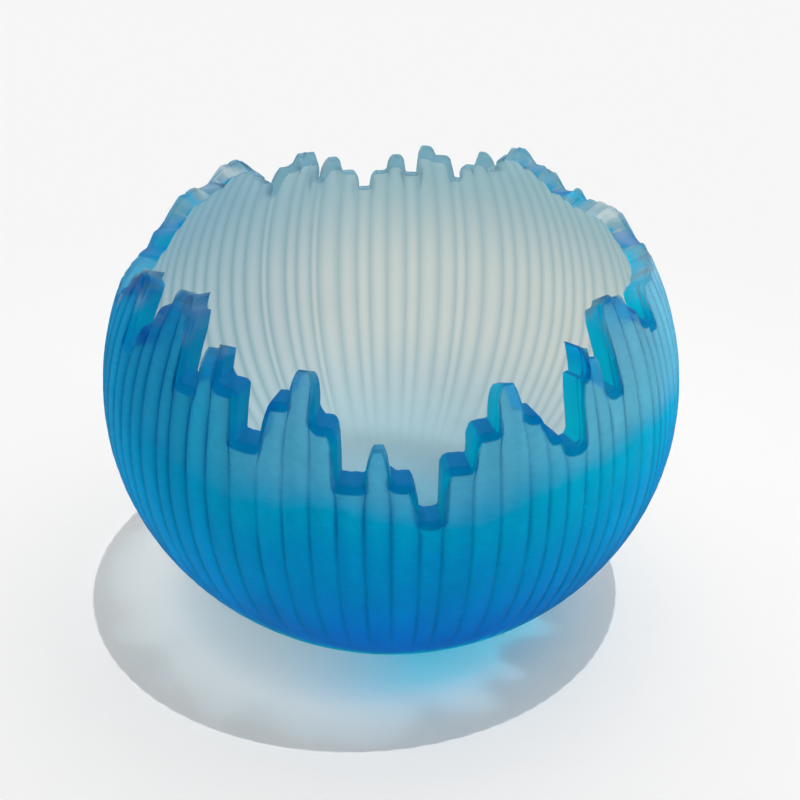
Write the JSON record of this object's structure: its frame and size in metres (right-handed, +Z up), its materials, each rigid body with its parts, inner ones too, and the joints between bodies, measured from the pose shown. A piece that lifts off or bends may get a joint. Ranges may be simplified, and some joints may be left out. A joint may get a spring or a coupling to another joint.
{
  "type": "glass orb bowl",
  "caption": "Open frosted glass orb with a thick pale lining under a thin blue overlay, upright ribs that end in an irregular stepped rim, and a flat foot to rest on.",
  "frame": {"origin": "centre of the flat foot, which lies on z = 0", "axes": "+Z up along the orb's upright axis, -Y towards the low front of the rim, +X to the right of that"},
  "size_m": [0.21, 0.2098, 0.1623],
  "materials": {
    "blue_glass": "sandblasted",
    "pale_glass": "sandblasted"
  },
  "bodies": {
    "root": {"blue_overlay": "blue_glass", "pale_lining": "pale_glass"}
  },
  "joints": []
}
